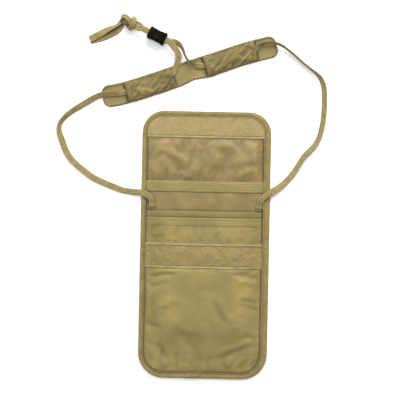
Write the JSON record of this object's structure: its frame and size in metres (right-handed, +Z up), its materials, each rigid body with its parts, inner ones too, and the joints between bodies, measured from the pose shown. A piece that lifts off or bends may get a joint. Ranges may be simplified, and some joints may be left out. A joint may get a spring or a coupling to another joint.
{
  "type": "neck pouch wallet",
  "caption": "Flat fabric travel pouch with a hook-and-loop flap, two pockets, and a neck cord with a cord lock, knot and neck pad.",
  "frame": {"origin": "middle of the opened pouch, on the surface it lies on", "axes": "+X across the pouch, +Y from the bottom seam to the tip of the open flap, +Z up out of its front"},
  "size_m": [0.283, 0.3812, 0.0128],
  "materials": {
    "shell_cloth": "matte woven nylon with a faint grid",
    "lining_cloth": "smooth coated lining with a soft sheen",
    "binding_tape": "matte woven edge tape",
    "loop_pile": "fuzzy brushed loops",
    "hook_nylon": "stiff nylon hooks",
    "cord_braid": "ribbed flat braid",
    "sewing_thread": "twisted thread",
    "pad_cloth": "matte woven nylon, wrinkled",
    "lock_plastic": "black moulded, slightly worn",
    "spring_steel": "drawn wire"
  },
  "bodies": {
    "pouch": {"back_panel": "shell_cloth", "back_lining": "lining_cloth", "facing_band": "shell_cloth", "middle_pocket_panel": "shell_cloth", "front_pocket_panel": "shell_cloth", "loop_tape": "loop_pile", "body_binding": "binding_tape", "left_cord_tack": "sewing_thread", "right_cord_tack": "sewing_thread", "left_cord": "cord_braid", "right_cord": "cord_braid", "cord_knot": "cord_braid", "cord_tail": "cord_braid"},
    "flap": {"flap_panel": "shell_cloth", "flap_lining": "lining_cloth", "hook_tape": "hook_nylon", "flap_binding": "binding_tape"},
    "neck_pad": {"pad_base": "pad_cloth", "left_sleeve": "pad_cloth", "right_sleeve": "pad_cloth"},
    "cord_lock": {"lock_body": "lock_plastic", "lock_spring": "spring_steel"},
    "lock_button": {"lock_button": "lock_plastic"}
  },
  "joints": [
    {"name": "flap_fold", "type": "hinge", "parent": "pouch", "child": "flap", "pos_m": [0, 0.058, 0.0073], "axis": [1, 0, 0], "range_deg": [0, 180]},
    {"name": "pad_slide", "type": "slide", "parent": "pouch", "child": "neck_pad", "axis": [0.9511, 0.309, 0], "range_m": [-0.006, 0.0015]},
    {"name": "lock_slide", "type": "slide", "parent": "pouch", "child": "cord_lock", "axis": [0.9056, -0.4242, 0], "range_m": [-0.008, 0.003]},
    {"name": "button_press", "type": "slide", "parent": "cord_lock", "child": "lock_button", "axis": [0, 0, -1], "range_m": [0, 0.002], "stiffness_N_per_m": 800, "springref_m": -0.002, "deforming": ["lock_spring"]}
  ]
}
